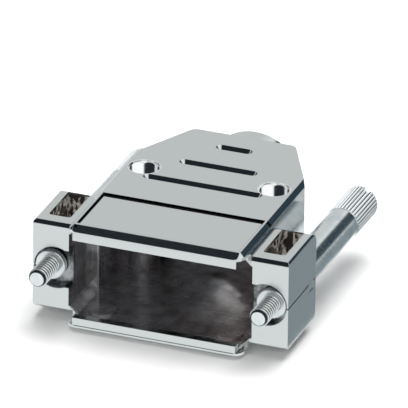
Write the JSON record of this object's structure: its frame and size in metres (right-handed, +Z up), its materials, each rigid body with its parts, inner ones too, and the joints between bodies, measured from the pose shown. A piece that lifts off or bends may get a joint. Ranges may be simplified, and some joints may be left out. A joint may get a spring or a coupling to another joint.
{
  "type": "d-sub connector hood",
  "caption": "Metallised two-shell backshell for a D-sub connector, with long knurled thumbscrews at its sides and a round cable outlet at the back.",
  "frame": {"origin": "middle of the connector face, between the two thumbscrews, on the plane where the shells part", "axes": "+X across the connector towards the right thumbscrew, +Y from the connector to the cable, +Z up through the upper shell"},
  "size_m": [0.0386, 0.0438, 0.0164],
  "materials": {
    "shell_plating": "bright metal plating on moulded plastic",
    "thumbscrew_zinc": "turned steel with a bluish zinc coat",
    "small_screw_zinc": "zinc-plated steel"
  },
  "bodies": {
    "hood": {"upper_shell": "shell_plating", "lower_shell": "shell_plating", "cable_clamp_upper": "shell_plating", "cable_clamp_lower": "shell_plating", "case_screw_right": "small_screw_zinc", "case_screw_left": "small_screw_zinc", "clamp_screw_right": "small_screw_zinc", "clamp_screw_left": "small_screw_zinc", "clamp_nut_right": "small_screw_zinc", "clamp_nut_left": "small_screw_zinc"},
    "thumbscrew_right": {"thumbscrew_right": "thumbscrew_zinc"},
    "thumbscrew_left": {"thumbscrew_left": "thumbscrew_zinc"}
  },
  "joints": [
    {"name": "thumbscrew_right_turn", "type": "hinge", "parent": "hood", "child": "thumbscrew_right", "pos_m": [0.01666, 0, 0.00025], "axis": [0, -0.9998, 0.0209], "continuous": true},
    {"name": "thumbscrew_left_turn", "type": "hinge", "parent": "hood", "child": "thumbscrew_left", "pos_m": [-0.01666, 0, 0.00025], "axis": [0, -0.9998, 0.0209], "continuous": true}
  ]
}
